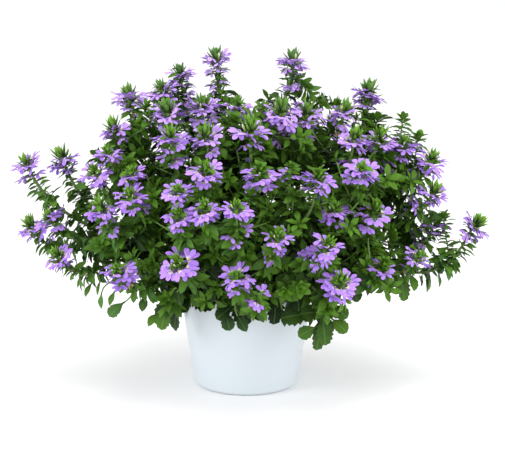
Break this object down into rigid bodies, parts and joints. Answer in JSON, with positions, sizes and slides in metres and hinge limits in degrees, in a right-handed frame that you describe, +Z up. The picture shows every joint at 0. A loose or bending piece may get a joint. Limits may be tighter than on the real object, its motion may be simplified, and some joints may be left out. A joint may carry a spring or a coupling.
{
  "type": "potted fan flower plant",
  "caption": "Mounded fan flower plant with purple fan-shaped blooms round leafy shoot tips, growing in a plain white tapered pot.",
  "frame": {"origin": "middle of the flat underside of the pot, where it rests", "axes": "+Z up; +X to the right as the viewer sees the plant, along its widest spread; -Y towards the viewer"},
  "size_m": [0.5755, 0.4082, 0.4118],
  "materials": {
    "pot": "smooth matte white",
    "potting_mix": "dark crumbly peat mix",
    "foliage": "satin fresh green",
    "bloom": "matte lavender purple"
  },
  "bodies": {
    "root": {"pot": "pot", "potting_mix": "potting_mix", "stem_left": "foliage", "stem_upper_left": "foliage", "stem_front_left": "foliage", "stem_front_centre_left": "foliage", "stem_front_centre": "foliage", "stem_front_right": "foliage", "stem_right_front": "foliage", "stem_right": "foliage", "stem_top": "foliage", "stem_back": "foliage", "bloom_1": "bloom", "bloom_2": "bloom", "bloom_3": "bloom", "bloom_4": "bloom", "bloom_5": "bloom", "bloom_6": "bloom", "bloom_7": "bloom", "bloom_8": "bloom", "bloom_9": "bloom", "bloom_10": "bloom", "bloom_11": "bloom", "bloom_12": "bloom", "bloom_13": "bloom", "bloom_14": "bloom", "bloom_15": "bloom", "bloom_16": "bloom", "bloom_17": "bloom", "bloom_18": "bloom", "bloom_19": "bloom", "bloom_20": "bloom", "bloom_21": "bloom", "bloom_22": "bloom", "bloom_23": "bloom", "bloom_24": "bloom", "bloom_25": "bloom", "bloom_26": "bloom", "bloom_27": "bloom", "bloom_28": "bloom", "bloom_29": "bloom", "bloom_30": "bloom", "bloom_31": "bloom", "bloom_32": "bloom", "bloom_33": "bloom", "bloom_34": "bloom", "bloom_35": "bloom", "bloom_36": "bloom", "bloom_37": "bloom", "bloom_38": "bloom", "bloom_39": "bloom", "bloom_40": "bloom", "bloom_41": "bloom", "bloom_42": "bloom", "bloom_43": "bloom", "bloom_44": "bloom", "bloom_45": "bloom", "bloom_46": "bloom", "bloom_47": "bloom", "bloom_48": "bloom"}
  },
  "joints": []
}
